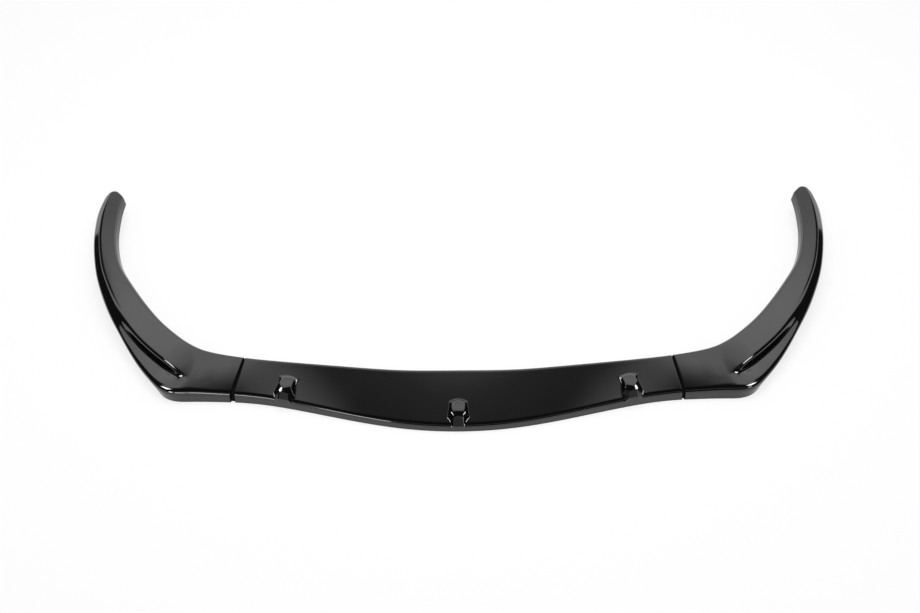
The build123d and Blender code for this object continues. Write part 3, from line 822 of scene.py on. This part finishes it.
class LIP_OT_stage(bpy.types.Operator):
    """Sets the floor, the cloths, the lamps, the white surroundings and the camera"""

    bl_idname = "lip.stage"
    bl_label = "Studio stage"

    def execute(self, context):
        scene, studio = context.scene, context.scene.lip_studio
        scene.view_settings.view_transform = "Standard"
        reach = FLOOR_RADII * studio.canopy_radius
        span = np.linspace(-reach, reach, 9)
        self.surface("studio_floor", (span[:, None], span, 0), white_floor(studio))
        self.cloths(studio.canopy_radius)
        for lamp in LAMPS:
            self.lamp(*lamp)
        self.surroundings(scene, studio)
        self.camera(scene, studio)
        return {"FINISHED"}

    def surface(self, name, coordinates, material):
        """A stage sheet from X, Y and Z, which broadcast to a grid of points."""
        points = np.stack(np.broadcast_arrays(*coordinates), axis=-1)
        rows, across = points.shape[:2]
        i, j = np.meshgrid(np.arange(rows - 1), np.arange(across - 1), indexing="ij")
        k = (i * across + j).ravel()
        faces = np.stack([k, k + across, k + across + 1, k + 1], axis=-1)
        mesh = bpy.data.meshes.new(name)
        mesh.from_pydata(points.reshape(-1, 3).tolist(), [], faces.tolist())
        mesh.polygons.foreach_set("use_smooth", np.ones(len(faces), bool))
        mesh.materials.append(material)
        made = bpy.data.objects.new(name, mesh)
        bpy.context.scene.collection.objects.link(made)
        return made

    def cloths(self, radius):
        """Canopy, rear sheet, and two dark flags and a bar on each side, all seen only in gloss.

        The canopy is part of a cylinder along X: dark in front, bright at the rear. The others are flat. A
        flag's rear edge runs back with height on a slant, less a parabola over the bend.
        """
        canopy = glowing_cloth("canopy_cloth", "Y", radius, CANOPY_SIDES, CANOPY_MIDDLE)
        dark = glowing_cloth("dark_flag_cloth", "Z", radius, FLAG_LEVELS)
        rear = glowing_cloth("rear_sheet_cloth", "Z", radius, REAR_LEVELS)
        wide = np.linspace(-CLOTH_HALF_WIDTH, CLOTH_HALF_WIDTH, 3)[:, None]
        over = np.radians(np.linspace(0, CANOPY_DEGREES, 57))
        u, v = np.linspace(0, 1, 5)[:, None], np.linspace(0, 1, 41)
        z = radius * v
        flag_rear = FLAG_FOOT + FLAG_SLANT * z - FLAG_BEND * np.maximum(z - FLAG_BEND_HEIGHT, 0)**2
        flag_back = -radius + u * (radius + flag_rear)
        sheets = [
            self.surface("studio_canopy", (wide, -radius * np.cos(over), radius * np.sin(over)), canopy),
            self.surface("rear_sheet", (wide, radius, REAR_SHEET_TOP * v), rear),
        ]
        for name, side in (("left", -1), ("right", 1)):
            sheets.append(self.surface(f"{name}_flag", (side * FLAG_ASIDE, flag_back, z), dark))
            for label, corner, along, up in DARK_SHEETS:
                across, back, height = (c + a * u + b * v for c, a, b in zip(corner, along, up))
                sheets.append(self.surface(f"{name}_{label}", (side * across, back, height), dark))
        for sheet in sheets:
            sheet.visible_camera = False
            sheet.visible_diffuse = False
            sheet.visible_shadow = False
            sheet.visible_transmission = False

    def lamp(self, name, place, target, size, power, mirrored):
        """A rectangular softbox that faces its target. Mirrored ones only show in the gloss."""
        light = bpy.data.lights.new(name, "AREA")
        light.shape = "RECTANGLE"
        light.size, light.size_y = size
        light.energy = power
        made = bpy.data.objects.new(name, light)
        made.location = place
        made.rotation_euler = (Vector(target) - Vector(place)).to_track_quat("-Z", "Y").to_euler()
        made.visible_glossy, made.visible_diffuse = mirrored, not mirrored
        made.visible_camera = False
        bpy.context.scene.collection.objects.link(made)

    def surroundings(self, scene, studio):
        """A world that is white where it is seen, also in the gloss, and weaker in diffuse light."""
        world = scene.world or bpy.data.worlds.new("white_studio")
        scene.world = world
        world.use_nodes = True
        tree = world.node_tree
        tree.nodes.clear()
        strength = add(tree, "ShaderNodeMapRange", {
            "Value": seen_directly(tree), "To Min": studio.world_light, "To Max": 1.0})
        white = add(tree, "ShaderNodeBackground", {
            "Color": (1, 1, 1, 1), "Strength": strength.outputs["Result"]})
        output = add(tree, "ShaderNodeOutputWorld")
        tree.links.new(white.outputs["Background"], output.inputs["Surface"])

    def camera(self, scene, studio):
        """The camera looks down at the lip from in front, turned by small yaw and roll angles."""
        e, yaw, roll = studio.camera_elevation, studio.camera_yaw, studio.camera_roll
        forward = Vector((sin(yaw) * cos(e), cos(yaw) * cos(e), -sin(e)))
        right = forward.cross(Vector((0, 0, 1))).normalized()
        up = right.cross(forward)
        right, up = right * cos(roll) + up * sin(roll), up * cos(roll) - right * sin(roll)
        place = Vector(CAMERA_TARGET) * MM - forward * studio.camera_distance
        data = bpy.data.cameras.new("studio_camera")
        data.sensor_width = SENSOR_WIDTH
        data.sensor_fit = "HORIZONTAL"
        data.lens = studio.camera_lens
        made = bpy.data.objects.new("studio_camera", data)
        turned = Matrix((right, up, -forward)).transposed().to_4x4()
        made.matrix_world = Matrix.Translation(place) @ turned
        scene.collection.objects.link(made)
        scene.camera = made


class LIP_PT_panel(bpy.types.Panel):
    """Lists the steps that build the lip"""

    bl_idname = "LIP_PT_panel"
    bl_label = "Front splitter lip"
    bl_space_type = "VIEW_3D"
    bl_region_type = "UI"
    bl_category = "Front lip"

    def draw(self, context):
        for operator in OPERATORS:
            self.layout.operator(operator.bl_idname)
        for group in (context.scene.lip_sizes, context.scene.lip_finish, context.scene.lip_studio):
            box = self.layout.box()
            for name in group.__annotations__:
                box.prop(group, name)


OPERATORS = (LIP_OT_centre, LIP_OT_sides, LIP_OT_screws, LIP_OT_stage)
CLASSES = (LipSizes, LipFinish, LipStudio, *OPERATORS, LIP_PT_panel)


def register():
    """Registers the classes and hangs the three property groups on the scene."""
    for each in CLASSES:
        bpy.utils.register_class(each)
    bpy.types.Scene.lip_sizes = bpy.props.PointerProperty(type=LipSizes)
    bpy.types.Scene.lip_finish = bpy.props.PointerProperty(type=LipFinish)
    bpy.types.Scene.lip_studio = bpy.props.PointerProperty(type=LipStudio)


def unregister():
    """Takes the property groups off the scene and unregisters the classes."""
    del bpy.types.Scene.lip_sizes, bpy.types.Scene.lip_finish, bpy.types.Scene.lip_studio
    for each in reversed(CLASSES):
        bpy.utils.unregister_class(each)


def main():
    """Builds the pieces and the stage."""
    register()
    bpy.ops.lip.centre()
    bpy.ops.lip.sides()
    bpy.ops.lip.screws()
    bpy.ops.lip.stage()


if __name__ == "__main__":
    main()
